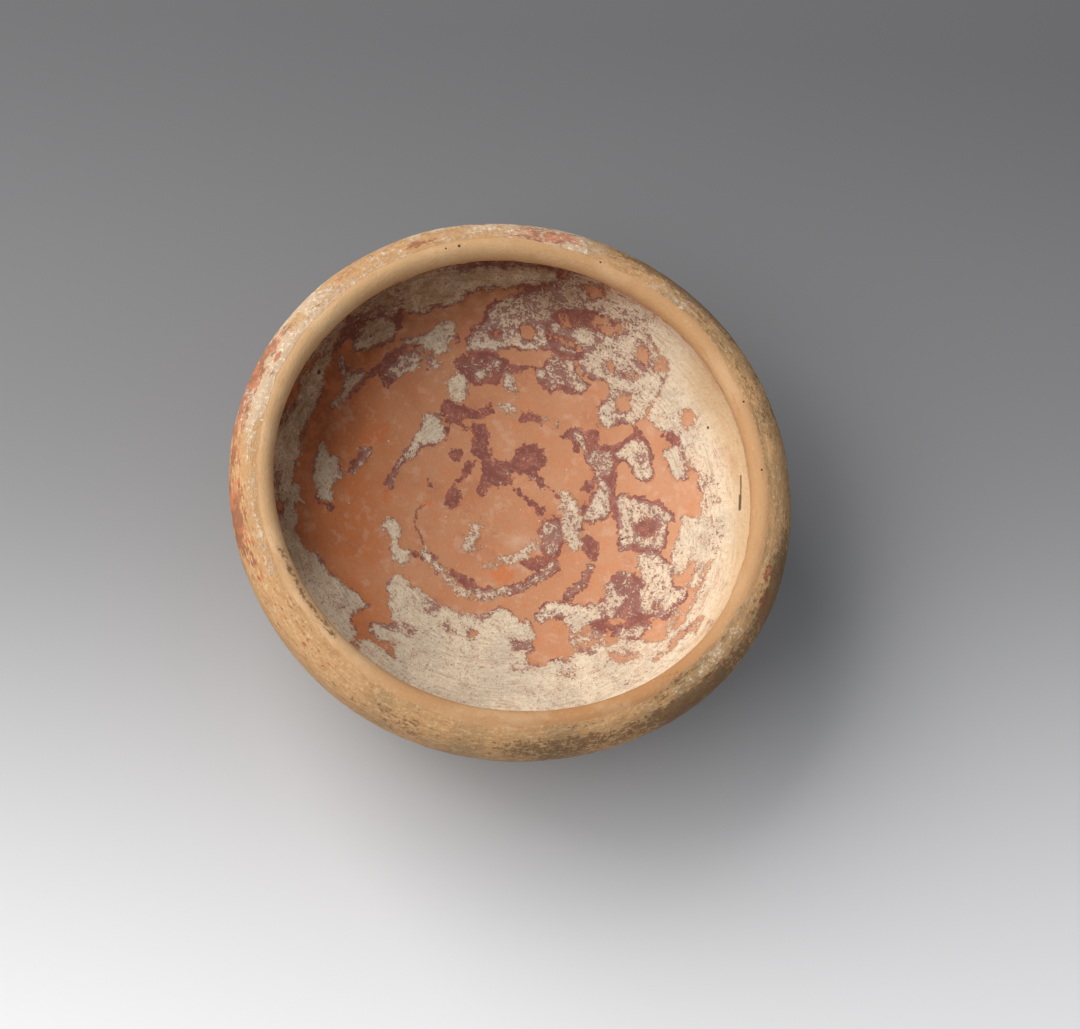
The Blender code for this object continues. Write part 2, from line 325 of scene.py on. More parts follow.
# Marks on the part of the outside that shows: red slip, dark age and pale slip that has flaked. Two of them
# paint shade and light: a dark line of painted shade down the lip's inner edge at the lower left, and a
# thin painted highlight down the left of the lip by the groove
RED_STROKES = read_marks("""
0.55 5 434,239 452,236; 0.64 9 258,377 268,366 281,353; 0.64 7 336,281 346,275 358,269; 0.5 6 290,329
298,317; 0.72 9 408,249 420,243 434,240; 0.52 3 376,262 388,254 402,247; 0.5 2.4 454,237 480,235 502,233
534,236; 0.42 5 487,232 500,231; 0.66 9 240,442 238,470 240,498; 0.56 9 242,498 246,520 250,540; 0.6 10
247,542 253,560 260,578; 0.46 3 260,592 271,614; 0.45 6 247,404 251,414; 0.62 11 768,566 764,594 754,618;
0.66 8 740,636 728,656 708,678; 0.45 6 786,470 787,484; 0.5 5 700,303 712,318; 0.5 5 770,402 776,420
""")
# Dark age on the outside and dark specks on the lip; the long stroke from 277,545 to 336,637, down the
# lip's inner edge at the lower left, is painted shade where the lip rolls under
DARK_STROKES = read_marks("""
0.36 24 272,600 300,640 340,684 390,716 440,736 500,748; 0.42 5 330,664 352,684 380,700 420,716; 0.8 3
425,235 447,231 469,227; 0.8 1.8 319,290 345,268 375,251 403,239; 0.9 3 640,264 665,280 690,302 712,328
734,360; 0.8 4 660,290 664,297; 0.52 12 620,258 652,273 684,297 712,329 736,363 754,397 764,430; 0.5 12
771,566 766,594 756,620 748,636; 0.9 4 692,314 699,320; 0.9 4 709,329 714,336; 0.8 4 721,342 725,349; 0.9 4
736,364 743,377; 0.7 4 742,386 746,391; 0.8 5 762,406 766,424; 0.8 4 769,432 772,438; 0.6 4 770,520 772,548;
0.5 7 657,683 668,678 680,672; 0.62 3 712,664 718,657 724,652; 0.6 3 738,640 730,650 716,664 700,680
684,692; 0.8 4 653,700 666,695; 0.7 3 621,704 631,697; 0.8 2.5 560,729 580,727 594,723 606,719 622,715; 0.6
3 300,594 306,602;
0.86 4.4 277,545 283,552 289,567 298,587 305,599 317,613 326,625 336,637
""")
# Pale slip that has flaked, and one painted highlight: the thin stroke from 257,456 to 258,518 down the
# left of the lip by the groove
PALE_FLAKES_AND_HIGHLIGHT = read_marks("""
0.56 22 736,632 722,648 706,664; 0.54 18 704,668 690,682 676,694; 0.42 8 783,500 785,540; 0.42 9 760,378
768,410; 0.46 4 432,240 444,236 456,235; 0.72 8 366,263 380,256 396,248; 0.72 8 314,300 324,290 334,283;
0.56 8 284,338 300,316 316,300; 0.72 10 244,390 252,396 257,404; 0.48 8 462,231 500,228 540,232 575,240;
0.58 3 519,240 545,242 571,247; 0.7 2 257,456 256.5,487 258,518; 0.34 4 250,424 252,470
""")
# Small dark pits and small pale specks, with a radius in place of the strength
PITS = read_marks("""
1.8 269.5,484; 2.2 269,494; 1.2 264.5,466; 1.8 460,246; 1.4 278,404; 2.6 383.5,668; 1.7 708,428; 1.5
371,336; 1.5 622,539; 3 319,372; 1.6 318,612; 1.8 329,626; 1.4 336,634; 1.1 446,249; 1.2 600,262; 1.3
744,402; 1.2 762,470; 1.5 356,672
""")
SPECKS = read_marks("""
1.1 388.5,441; 1 349,503; 0.8 371,456; 0.9 539,521; 1 561,522; 0.8 447,517; 0.8 520,510; 0.8 486,547; 0.8
421,531; 0.8 566,470; 0.8 614,335; 0.9 400,600
""")
# Thin marks: dark paint, the crack in the wall, red stain by the lip's inner edge, and a pale scratch
PAINT_LINES = read_marks("""
0.8 2.2 424,504 417,511 416,522 419,534 425,545; 0.75 2.2 352,391 366,377 384,362 402,349 418,341; 0.65 1.8
513,641 520,643 532,642; 0.65 1.8 512,649 522,650 534,648; 0.6 2 372,622 384,628 398,632 410,638
""")
CRACK_LINES = read_marks("""
0.75 1.6 740.6,476 740.4,497; 0.9 2.6 740.4,496 739.8,509
""")
STAIN_LINES = read_marks("""
0.75 6 636,303 656,314 676,329 703,358 724,391 738,424; 0.4 4 738,424 748,470; 0.4 4 728,600 716,618 700,636
680,652; 0.3 5 722,560 712,588 696,612; 0.26 8 722,448 734,462 736,478; 0.3 6 694,352 706,368 718,392; 0.26
12 606,290 640,305 670,327 696,356
""")
SCRATCH_LINES = read_marks("""
0.6 1.3 241,420 262,419.5
""")


def arc(centre, reach, start, end, steps):
    """Points along part of an ellipse, as (radius, height)."""
    turns = np.radians(np.linspace(start, end, steps + 1))
    return np.stack((centre[0] + reach[0] * np.cos(turns), centre[1] + reach[1] * np.sin(turns)), axis=1)


def undercut(low, high, steps):
    """A curve upright at both ends, from the widest place inside up to the mouth."""
    share = np.linspace(0, 1, steps + 1)[:, None]
    pull = (high[1] - low[1]) / 2
    corners = np.array((low, (low[0], low[1] + pull), (high[0], high[1] - pull), high))
    weights = ((1 - share) ** 3, 3 * share * (1 - share) ** 2, 3 * share ** 2 * (1 - share), share ** 3)
    return sum(weight * corner for weight, corner in zip(weights, corners))


def lengths_along(points):
    """How far along the line each of its points is."""
    return np.concatenate(((0,), np.cumsum(np.hypot(*np.diff(points, axis=0).T))))


def respaced(points, spacing):
    """The same line with points at even distances along it."""
    lengths = lengths_along(points)
    places = np.linspace(0, lengths[-1], max(2, round(lengths[-1] / spacing)) + 1)
    return np.stack([np.interp(places, lengths, points[:, side]) for side in (0, 1)], axis=1)


def bowl_profile():
    """The profile from the axis inside, over the lip, to the axis under the foot.

    The rows at which the lip and the outside start come with it.
    """
    floor_height = FOOT_RECESS + FLOOR_THICKNESS
    widest = (BELLY_RADIUS - WALL_THICKNESS, HEIGHT - UNDERCUT_DROP)
    mouth = (BELLY_RADIUS - LIP_WIDTH, HEIGHT - LIP_ROUNDING)
    crest_radius = BELLY_RADIUS - LIP_WIDTH + LIP_ROUNDING
    shoulder_height = HEIGHT - SHOULDER_DROP
    shoulder_reach = (BELLY_RADIUS - crest_radius, SHOULDER_DROP)
    foot_share = (FOOT_RADIUS + FOOT_FILLET) / BELLY_RADIUS
    foot_turn = -math.degrees(math.acos(foot_share))
    depth = (shoulder_height - FOOT_HEIGHT) / math.sqrt(1 - foot_share ** 2)
    wear = FOOT_EDGE_WEAR
    ring_radius = FOOT_RADIUS - FOOT_RING_WIDTH
    fillet_centre = (FOOT_RADIUS + FOOT_FILLET, FOOT_HEIGHT - FOOT_FILLET)
    inside = np.concatenate((
        arc((0, widest[1]), (widest[0], widest[1] - floor_height), -90, 0, CURVE_STEPS),
        undercut(widest, mouth, CURVE_STEPS)[1:],
    ))
    lip = np.concatenate((
        arc((crest_radius, mouth[1]), (LIP_ROUNDING, LIP_ROUNDING), 180, 90, CURVE_STEPS),
        arc((crest_radius, shoulder_height), shoulder_reach, 90, 0, CURVE_STEPS)[1:],
    ))
    outside = arc((0, shoulder_height), (BELLY_RADIUS, depth), 0, foot_turn, CURVE_STEPS)
    foot = np.concatenate((
        arc(fillet_centre, (FOOT_FILLET, FOOT_FILLET), 90, 180, 4),
        arc((FOOT_RADIUS - wear, wear), (wear, wear), 0, -90, 3),
        arc((ring_radius + wear, wear), (wear, wear), -90, -180, 3),
        arc((ring_radius - wear, FOOT_RECESS - wear), (wear, wear), 0, 90, 3),
        ((0, FOOT_RECESS),),
    ))
    first, *others = (
        respaced(inside, INSIDE_SPACING), respaced(lip, LIP_SPACING), respaced(outside, OUTSIDE_SPACING),
        respaced(foot, FOOT_SPACING),
    )
    lip_start = len(first) - 1
    outside_start = lip_start + len(others[0]) - 1
    return np.concatenate([first] + [section[1:] for section in others]), lip_start, outside_start


def noise(places, size, seed):
    """Smooth random values from 0 to 1 at places in space, with features of the given size."""
    cells = 32
    lattice = np.random.default_rng(seed).random((cells, cells, cells))
    scaled = places / size
    cell = np.floor(scaled).astype(int)
    share = scaled - cell
    share = share * share * (3 - 2 * share)
    total = np.zeros(len(places))
    for corner in itertools.product((0, 1), repeat=3):
        weight = np.prod(np.where(corner, share, 1 - share), axis=1)
        total += weight * lattice[tuple(((cell + corner) % cells).T)]
    return total


def rough_noise(places, size, seed):
    """Noise with finer and finer layers, spread over 0 to 1."""
    layers = 4
    total = sum(noise(places, size / 2 ** layer, seed + layer) / 2 ** layer for layer in range(layers))
    return np.clip(0.5 + 1.5 * (total / (2 - 0.5 ** (layers - 1)) - 0.5), 0, 1)


def wander(places, seeds):
    """How far the edge of a worn layer strays, across and down, in pixels of the photograph."""
    broad, fine = 6.0, 5.0
    return np.stack([
        broad * (rough_noise(places, 0.0042, seed) - 0.5) + fine * (noise(places, 0.0012, seed + 40) - 0.5)
        for seed in seeds
    ], axis=1)


def smooth_step(start, end, value):
    """Eases from 0 at start to 1 at end."""
    share = np.clip((value - start) / (end - start), 0, 1)
    return share * share * (3 - 2 * share)


def near_turn(turn, middle, half_width, soft):
    """1 within half_width degrees of a turn in degrees, easing to 0 over the soft degrees beyond."""
    away = np.abs((turn - middle + 180) % 360 - 180)
    return smooth_step(half_width + soft, half_width, away)


def distance_to_line(points, line):
    """How far each point is from a line of corners."""
    nearest = np.full(len(points), np.inf)
    for first, second in zip(line, line[1:]):
        start, run = np.array(first), np.subtract(second, first)
        share = np.clip((points - start) @ run / max(run @ run, 1e-9), 0, 1)
        nearest = np.minimum(nearest, np.hypot(*(points - start - share[:, None] * run).T))
    return nearest


def depth_in_patch(points, corners):
    """How far each point is inside the patch, below zero outside it."""
    loop = corners + corners[:1]
    within = np.zeros(len(points), bool)
    for (x0, y0), (x1, y1) in zip(loop, loop[1:]):
        if y0 != y1:
            crosses = (points[:, 1] < y0) != (points[:, 1] < y1)
            within ^= crosses & (points[:, 0] < x0 + (points[:, 1] - y0) * (x1 - x0) / (y1 - y0))
    distance = distance_to_line(points, loop)
    return np.where(within, distance, -distance)


def lay_on(layer, points, marks, grow=0.0):
    """Raises the layer to each mark's strength in its patch, or along its stroke where it has a width."""
    for strength, *width, corners in marks:
        low, high = np.min(corners, axis=0) - MARK_REACH, np.max(corners, axis=0) + MARK_REACH
        near = np.flatnonzero(np.all((points > low) & (points < high), axis=1))
        if width:
            depth = width[0] / 2 - distance_to_line(points[near], corners)
        else:
            depth = depth_in_patch(points[near], corners)
        cover = np.clip(0.5 + (depth + grow) / (2 * EDGE_SOFTNESS), 0, 1)
        layer[near] = np.maximum(layer[near], strength * cover)


def photo_place(points):
    """Where points in space are in the photograph, in its pixels."""
    offset = points - CAMERA_PLACE
    scale = LENS / SENSOR_WIDTH * PHOTO_WIDTH / -(offset @ VIEW_BACK)
    across = PHOTO_WIDTH / 2 + offset @ VIEW_RIGHT * scale
    return np.stack((across, PHOTO_HEIGHT / 2 - offset @ VIEW_UP * scale), axis=1)


def past_the_lip(points):
    """Where points of the inside show in the photograph, or the nearest place the lip doesn't hide."""
    run = points - CAMERA_PLACE
    mouth_height = HEIGHT - LIP_ROUNDING
    crossing = CAMERA_PLACE + run * ((mouth_height - CAMERA_PLACE[2]) / run[:, 2])[:, None]
    share = 0.975 * (BELLY_RADIUS - LIP_WIDTH) / np.hypot(*crossing[:, :2].T)
    crossing[:, :2] *= np.minimum(share, 1)[:, None]
    return photo_place(crossing)


# The turned form, row by row down the profile, a little out of round and out of level
profile, lip_start, outside_start = bowl_profile()
ring_rows = np.arange(1, len(profile) - 1)
row = np.repeat(ring_rows, COLUMNS)
turn = np.tile(np.linspace(0, 2 * math.pi, COLUMNS, endpoint=False), len(ring_rows))
radius, height = profile[row].T
path_length = lengths_along(profile)[row]
tangent = np.gradient(profile, axis=0)
tangent /= np.hypot(*tangent.T)[:, None]
slope = np.stack((-tangent[:, 1], tangent[:, 0]), axis=1)[row]
share_up = np.clip((height - FOOT_HEIGHT) / (HEIGHT - FOOT_HEIGHT), 0, 1)
share_out = radius / BELLY_RADIUS
round_error = sum(np.cos(waves * (turn - BULGE_TURN)) for waves in ROUND_WAVES)
thrown_radius = radius + OUT_OF_ROUND * share_up * round_error * share_out
thrown_height = height + OUT_OF_LEVEL * share_up ** 2 * np.cos(2 * (turn - HIGH_SIDE)) * share_out
places = np.stack((thrown_radius * np.cos(turn), thrown_radius * np.sin(turn), thrown_height), axis=1)
normals = np.stack((slope[:, 0] * np.cos(turn), slope[:, 0] * np.sin(turn), slope[:, 1]), axis=1)

# Where each point lies: on which part, at what turn in the photograph, and at which of its pixels
on_inside = row < lip_start
on_outside = row >= outside_start
facing = normals @ VIEW_BACK > 0.03
view_angle = np.degrees(turn) - math.degrees(VIEW_ROLL)
turned = np.stack((path_length, TURNED_RADIUS * np.cos(turn), TURNED_RADIUS * np.sin(turn)), axis=1)
seen = np.where(on_inside[:, None], past_the_lip(places), photo_place(places))

# The lip: a bare tan roll, with a groove outside it, and worn red and cream slip beyond the groove. Across
# the lip, the inside counts as before all of it and the outside as a metre past it.
across_lip = np.where(on_inside, 0, radius + on_outside)
edge_wander = 0.0016 * (rough_noise(places, 0.009, 21) - 0.5)
below_mouth = np.where(on_inside, height + edge_wander - HEIGHT + LIP_ROUNDING, 0.01)
roll = smooth_step(-0.0016, -0.0002, below_mouth)
slip_reach = across_lip + edge_wander + 0.0014 * near_turn(view_angle, 318, 10, 10)
slip_reach += 0.0012 * near_turn(view_angle, 40, 30, 20)
beyond = np.where(on_inside, 0, smooth_step(GROOVE_RADIUS - 0.0006, GROOVE_RADIUS + 0.0005, slip_reach))

# The worn layers inside, with edges pulled about as flaking leaves them
pull = wander(places, (3, 9))
worn = np.where(on_outside[:, None], NOWHERE, seen + pull)
worn_paint = np.where(on_outside[:, None], NOWHERE, seen + 0.5 * pull + 0.8 * wander(places, (14, 26)))
crust, fringe, worn_off, paint, clay_bare, bright_clay, thin_crust = np.zeros((7, len(places)))
lay_on(crust, worn, CRUST_PATCHES + SOFT_CRUST_PATCHES + CRUST_STROKES)
lay_on(fringe, worn, CRUST_PATCHES, grow=1.5)
lay_on(fringe, worn, CRUST_STROKES, grow=1.8)
lay_on(worn_off, worn, WORN_PATCHES)
lay_on(paint, worn_paint, PAINT_PATCHES)
lay_on(paint, worn, PAINT_STROKES)
lay_on(clay_bare, worn, CLAY_PATCHES + CLAY_STROKES)
lay_on(bright_clay, worn, BRIGHT_CLAY_PATCHES)
lay_on(thin_crust, worn, THIN_CRUST_PATCHES)
crust *= (1 - clay_bare) * (1 - 0.55 * worn_off) * (1 - roll)
fringe *= 0.15 + 0.80 * smooth_step(0.38, 0.62, rough_noise(places, 0.0042, 57))
paint = np.maximum(np.maximum(paint, fringe), worn_off) * (1 - 0.9 * clay_bare) * (1 - roll)

# Broad changes of tone inside: deeper, darker clay at the left, painted shade on the wall turned from
# the lamps; paler clay at the right, painted light on the lit wall; painted shade under the lip at the
# upper left and the left; and an even cream wash up the right wall to the lip
across, up = seen[:, 0] - RINGS_MIDDLE[0], RINGS_MIDDLE[1] - seen[:, 1]
to_middle, about_middle = np.hypot(across, up), np.degrees(np.arctan2(up, across))
# Painted shade deepens the clay toward the left wall, turned from the lamps; painted light pales it toward
# the lit right wall
shaded_side_clay = smooth_step(428, 345, seen[:, 0])
lit_side_clay = smooth_step(540, 680, seen[:, 0])
# Painted shade under the lip: the inside is darkened from partway out to the lip, above and to the upper
# left, and at the left
painted_shade_above = smooth_step(148, 208, to_middle) * near_turn(about_middle, 122, 42, 30)
painted_shade_left = 0.8 * smooth_step(180, 222, to_middle) * near_turn(about_middle, 174, 20, 18)
painted_shade = np.maximum(painted_shade_above, painted_shade_left) * on_inside
calm = smooth_step(-0.0225, -0.0110, below_mouth) * near_turn(view_angle, -30, 58, 24) * on_inside

# The outside, from the groove to the foot: which sides are red, cream or dark with age, and the marks on
# the part that shows
belly_down = np.where(on_outside, HEIGHT - SHOULDER_DROP - height, 0)
outer_edge = smooth_step(0.0612, 0.0632, across_lip)
plainer = smooth_step(0.003, 0.014, belly_down)
side = view_angle + 70 * plainer * (rough_noise(places, 0.024, 101) - 0.5)
red_slip, cream_slip, dark_age = sum(np.outer(shares, near_turn(side, *reach)) for reach, shares in SIDES)
red_slip += 0.10 + 0.45 * outer_edge * near_turn(view_angle, 172, 16, 16)
red_slip = np.clip(red_slip, 0, 1) * (0.5 + rough_noise(turned, 0.0021, 33)) * (1 - 0.45 * plainer)
red_slip += plainer * 0.42 * rough_noise(turned, 0.004, 61)
cream_slip -= 0.2 * outer_edge * near_turn(side, *LEFT_SIDE)
cream_slip = np.clip(cream_slip, 0, 1) * (0.4 + rough_noise(turned, 0.003, 51)) * (1 - 0.55 * plainer)
dark_age *= (1 - 0.72 * plainer * smooth_step(0, 0.024, belly_down)) * smooth_step(0.022, 0.034, radius)
dark_age = np.clip(dark_age + 0.16, 0, 1) * (0.45 + 0.55 * outer_edge)
dark_age *= 0.45 + rough_noise(places, 0.016, 37)
outer_seen = np.where((facing & ~on_inside)[:, None], seen + 0.4 * pull, NOWHERE)
red_marks, dark_marks, pale_flakes_and_highlight = np.zeros((3, len(places)))
lay_on(red_marks, outer_seen, RED_STROKES)
lay_on(dark_marks, outer_seen, DARK_STROKES)
lay_on(pale_flakes_and_highlight, outer_seen, PALE_FLAKES_AND_HIGHLIGHT)
cream_slip *= (1 - 0.8 * red_marks) * (1 - 0.6 * dark_marks) * beyond
red_slip, dark_age = np.maximum(red_slip, red_marks) * beyond, np.maximum(dark_age, dark_marks) * beyond
# Dark marks that fall on the tan lip: real specks, and the painted shade line down its inner edge at the
# lower left
dark_line = dark_marks * smooth_step(0.05, 0.4, roll) * (1 - beyond)
# Only past the groove: pale flaked slip, and the thin painted highlight down the left of the lip by the
# groove
pale_flakes_and_highlight *= beyond

# Relief on top of the turned form
wheel = noise(turned, 0.0024, 75) + 0.5 * noise(turned, 0.0011, 77) - 0.75
raised = smooth_step(0.42, 0.72, crust + 0.55 * (rough_noise(places, 0.0018, 81) - 0.5))
groove = GROOVE_DEPTH * np.exp(-((across_lip - GROOVE_RADIUS) / GROOVE_WIDTH) ** 2)
slip_relief = SLIP_HEIGHT * beyond * (rough_noise(turned, 0.0016, 91) - 0.5)
relief = GRAIN_HEIGHT * (rough_noise(places, 0.0022, 71) - 0.5)
relief += WHEEL_HEIGHT * wheel * smooth_step(0.004, 0.014, radius)
relief += raised * (CRUST_HEIGHT + CRUST_SWELL * (rough_noise(places, 0.0032, 85) - 0.4))
relief += np.where(on_inside, 0, slip_relief - groove)
relief += AGE_HEIGHT * dark_age * (rough_noise(places, 0.0030, 95) - 0.5)
relief *= smooth_step(0, 0.003, radius) * np.where(on_outside & (height < 0.0006), 0.2, 1)
places = places + normals * relief[:, None]


def build_bowl():
    """The closed surface, with what lies on it kept as values on its points."""
    count = len(places)
    first_pole, last_pole = count, count + 1
    points = np.concatenate((places, ((0, 0, FOOT_RECESS + FLOOR_THICKNESS), (0, 0, FOOT_RECESS))))
    index = np.arange(count).reshape(len(ring_rows), COLUMNS)
    beside = np.roll(index, -1, axis=1)
    quads = np.stack((index[:-1], index[1:], beside[1:], beside[:-1]), axis=-1).reshape(-1, 4)
    first_fan = [(first_pole, here, there) for here, there in zip(index[0], beside[0])]
    last_fan = [(last_pole, there, here) for here, there in zip(index[-1], beside[-1])]
    mesh = bpy.data.meshes.new("worn_bowl")
    mesh.from_pydata(points.tolist(), [], first_fan + quads.tolist() + last_fan)
    mesh.polygons.foreach_set("use_smooth", np.ones(len(mesh.polygons), bool))
    # Painted shade on the lip and the outside: most toward the right and the bottom, the side turned from
    # the lamps
    far_side_shade = 0.05 + 0.45 * near_turn(view_angle, 0, 60, 50) + 0.6 * near_turn(view_angle, -85, 25, 30)
    values = {
        "crust": crust, "paint": paint, "bright_clay": bright_clay, "thin_crust": thin_crust,
        "shaded_side_clay": shaded_side_clay, "lit_side_clay": lit_side_clay, "painted_shade": painted_shade, "calm": calm,
        "tan_lip": roll * (1 - beyond), "far_side_shade": far_side_shade, "dark_line": dark_line, "beyond": beyond,
        "red_slip": red_slip, "cream_slip": cream_slip, "dark_age": dark_age, "pale_flakes_and_highlight": pale_flakes_and_highlight,
    }
    for name, value in values.items():
        layer = mesh.attributes.new(name, "FLOAT", "POINT")
        ends = (value[:COLUMNS].mean(), value[-COLUMNS:].mean())
        layer.data.foreach_set("value", np.concatenate((value, ends)).astype(np.float32))
    layer = mesh.attributes.new("turned", "FLOAT_VECTOR", "POINT")
    around = np.concatenate((turned, ((0, 0, 0), (turned[-1, 0], 0, 0))))
    layer.data.foreach_set("vector", around.astype(np.float32).ravel())
    bowl = bpy.data.objects.new("worn_bowl", mesh)
    bpy.context.scene.collection.objects.link(bowl)
    return bowl


class Nodes:
    """Builds a material's nodes by plain calls, each giving back a socket."""

    def __init__(self, name):
        self.material = bpy.data.materials.new(name)
        self.material.use_nodes = True
        self.tree = self.material.node_tree
        self.shader = self.tree.nodes["Principled BSDF"]

    def add(self, kind, **settings):
        node = self.tree.nodes.new(kind)
        for name, value in settings.items():
            setattr(node, name, value)
        return node

    def feed(self, socket, value):
        if isinstance(value, bpy.types.NodeSocket):
            self.tree.links.new(value, socket)
        elif isinstance(value, tuple) and len(value) == 3 and socket.type == "RGBA":
            socket.default_value = (*value, 1)
        else:
            socket.default_value = value

    def value(self, name):
        return self.add("ShaderNodeAttribute", attribute_name=name).outputs["Fac"]

    def place(self):
        return self.add("ShaderNodeTexCoord").outputs["Object"]

    def math(self, operation, *given):
        node = self.add("ShaderNodeMath", operation=operation)
        for socket, value in zip(node.inputs, given):
            self.feed(socket, value)
        return node.outputs[0]

    def vector_math(self, operation, *given):
        node = self.add("ShaderNodeVectorMath", operation=operation)
        for socket, value in zip(node.inputs, given):
            self.feed(socket, value)
        return node.outputs["Value" if operation in ("DISTANCE", "DOT_PRODUCT") else "Vector"]

    def add_up(self, *terms):
        return functools.reduce(lambda total, term: self.math("ADD", total, term), terms)

    def times(self, *terms):
        return functools.reduce(lambda total, term: self.math("MULTIPLY", total, term), terms)

    def weighted(self, *terms):
        """The sum of values, each given as (value, weight)."""
        return self.add_up(*(self.times(*term) for term in terms))

    def edge(self, name, *noises):
        """A value kept on the surface, stirred by noises, each given as (noise, weight)."""
        return self.add_up(self.value(name), self.weighted(*noises))

    def step(self, value, start, end, low=0.0, high=1.0):
        """Eases from low where the value is start to high where it is end.

        A smooth step keeps within its ends by itself, so the node's own clamp, which takes up room in the
        shader, stays off.
        """
        node = self.add("ShaderNodeMapRange", interpolation_type="SMOOTHSTEP", clamp=False)
        names = ("Value", "From Min", "From Max", "To Min", "To Max")
        for name, given in zip(names, (value, start, end, low, high)):
            self.feed(node.inputs[name], given)
        return node.outputs["Result"]

    def noise(self, place, size, detail, roughness, distortion=0.0):
        """Noise from about -1 to 1, of features of the given size, in metres where the place is."""
        node = self.add("ShaderNodeTexNoise", noise_dimensions="3D")
        names = ("Vector", "Scale", "Detail", "Roughness", "Distortion")
        for name, given in zip(names, (place, 1 / size, detail, roughness, distortion)):
            self.feed(node.inputs[name], given)
        return self.math("MULTIPLY_ADD", node.outputs["Fac"], 3.2, -1.6)

    def mix(self, share, first, second, kind="MIX"):
        node = self.add("ShaderNodeMix", data_type="RGBA", clamp_factor=True, blend_type=kind)
        self.feed(node.inputs["Factor"], share)
        self.feed(node.inputs[6], first)
        self.feed(node.inputs[7], second)
        return node.outputs[2]

    def tinted(self, base, *tints):
        """The base with tints laid over it in turn, each as (value, start, end, most, colour)."""
        for value, start, end, most, tint in tints:
            base = self.mix(self.step(value, start, end, 0, most), base, tint)
        return base

    def spots(self, place, marks):
        """1 at small marks, each given by its radius and its place in pixels, easing to 0 at its edge."""
        total = 0.0
        for size, (pixel,) in marks:
            away = self.vector_math("DISTANCE", place, seen_point(pixel))
            drawn = self.step(away, size * PIXEL_SIZE, 0.45 * size * PIXEL_SIZE)
            total = self.math("MAXIMUM", total, drawn)
        return total

    def line(self, place, first, second, width):
        """1 along a thin straight mark, easing to 0 at its edges."""
        run = second - first
        offset = self.vector_math("ADD", place, -first)
        along = self.vector_math("DOT_PRODUCT", offset, run / run.length_squared)
        share = self.math("MINIMUM", self.math("MAXIMUM", along, 0.0), 1.0)
        reach = self.add("ShaderNodeVectorMath", operation="SCALE")
        self.feed(reach.inputs["Vector"], run)
        self.feed(reach.inputs["Scale"], share)
        away = self.vector_math("DISTANCE", offset, reach.outputs["Vector"])
        return self.step(away, width, 0.3 * width)

    def fine_lines(self, place, marks):
        """The strength of the nearest of several thin strokes."""
        total = 0.0
        for strength, width, pixels in marks:
            points = [seen_point(pixel) for pixel in pixels]
            for first, second in zip(points, points[1:]):
                drawn = self.times(self.line(place, first, second, width * PIXEL_SIZE), strength)
                total = self.math("MAXIMUM", total, drawn)
        return total

    def stirred(self, place, size, reach):
        """The place pushed about at random, so that what is drawn at it wanders."""
        node = self.add("ShaderNodeTexNoise", noise_dimensions="3D")
        self.feed(node.inputs["Vector"], place)
        node.inputs["Scale"].default_value = 1 / size
        push = self.vector_math("MULTIPLY_ADD", node.outputs["Color"], (reach,) * 3, (-reach / 2,) * 3)
        return self.vector_math("ADD", place, push)


def colour(red, green, blue):
    """A linear colour from the usual 0 to 255 values."""
    shares = (level / 255 for level in (red, green, blue))
    return tuple(share / 12.92 if share <= 0.04 else ((share + 0.055) / 1.055) ** 2.4 for share in shares)


CLAY = colour(190, 133, 97)
# Paler clay: random pale patches and streaks, and painted light on the lit right of the inside
CLAY_PALE = colour(197, 145, 111)
# Painted shade: the deeper, darker clay of the left of the inside
CLAY_PAINTED_SHADE = colour(194, 118, 70)
CLAY_SHADOW = colour(172, 104, 72)
CLAY_BRIGHT = colour(200, 116, 68)
PAINT = colour(146, 84, 72)
PAINT_DARK = colour(124, 68, 62)
PAINT_FADED = colour(164, 112, 102)
PAINT_HAZE = colour(188, 150, 140)
CRUST = colour(221, 202, 175)
CRUST_GREY = colour(206, 190, 167)
CRUST_ROSY = colour(212, 176, 152)
CRUST_LIGHT = colour(234, 220, 198)
CRUST_STAIN = colour(156, 126, 108)
CRUST_SHADE = colour(182, 164, 138)
CRUST_LINE = colour(170, 146, 116)
CREAM_WASH = colour(200, 167, 126)
# Painted shade: the darker tone laid over the inside under the lip at the upper left and the left
PAINTED_SHADE_TONE = colour(150, 118, 86)
LIP = colour(190, 152, 110)
# Painted shade: the darker, warmer tan of the lip on the side turned from the lamps
LIP_PAINTED_SHADE = colour(176, 127, 83)
LIP_PALE = colour(214, 184, 146)
LIP_BROWN = colour(158, 114, 76)
SLIP_RED = colour(178, 104, 72)
SLIP_BROWN = colour(136, 84, 60)
SLIP_CREAM = colour(194, 170, 144)
AGE = colour(104, 80, 52)
# Brown of dark age, also used for the painted shade line down the lip's inner edge
AGE_AND_SHADE_BROWN = colour(104, 68, 46)
AGE_DEEP = colour(58, 42, 32)
OUTER_CLAY = colour(184, 142, 98)
# Painted shade: the olive tone of the outside on the side turned from the lamps
OUTER_OLIVE_SHADE = colour(158, 126, 88)


def seen_point(pixel):
    """The point of the bowl's surface that shows at a pixel of the photograph."""
    hidden = on_outside | (normals @ VIEW_BACK < 0.1)
    away = np.hypot(*(photo_place(places) - pixel).T) + 1e6 * hidden
    nearest = np.argsort(away)[:4]
    return Vector(np.average(places[nearest], axis=0, weights=(away[nearest] + 0.05) ** -2))


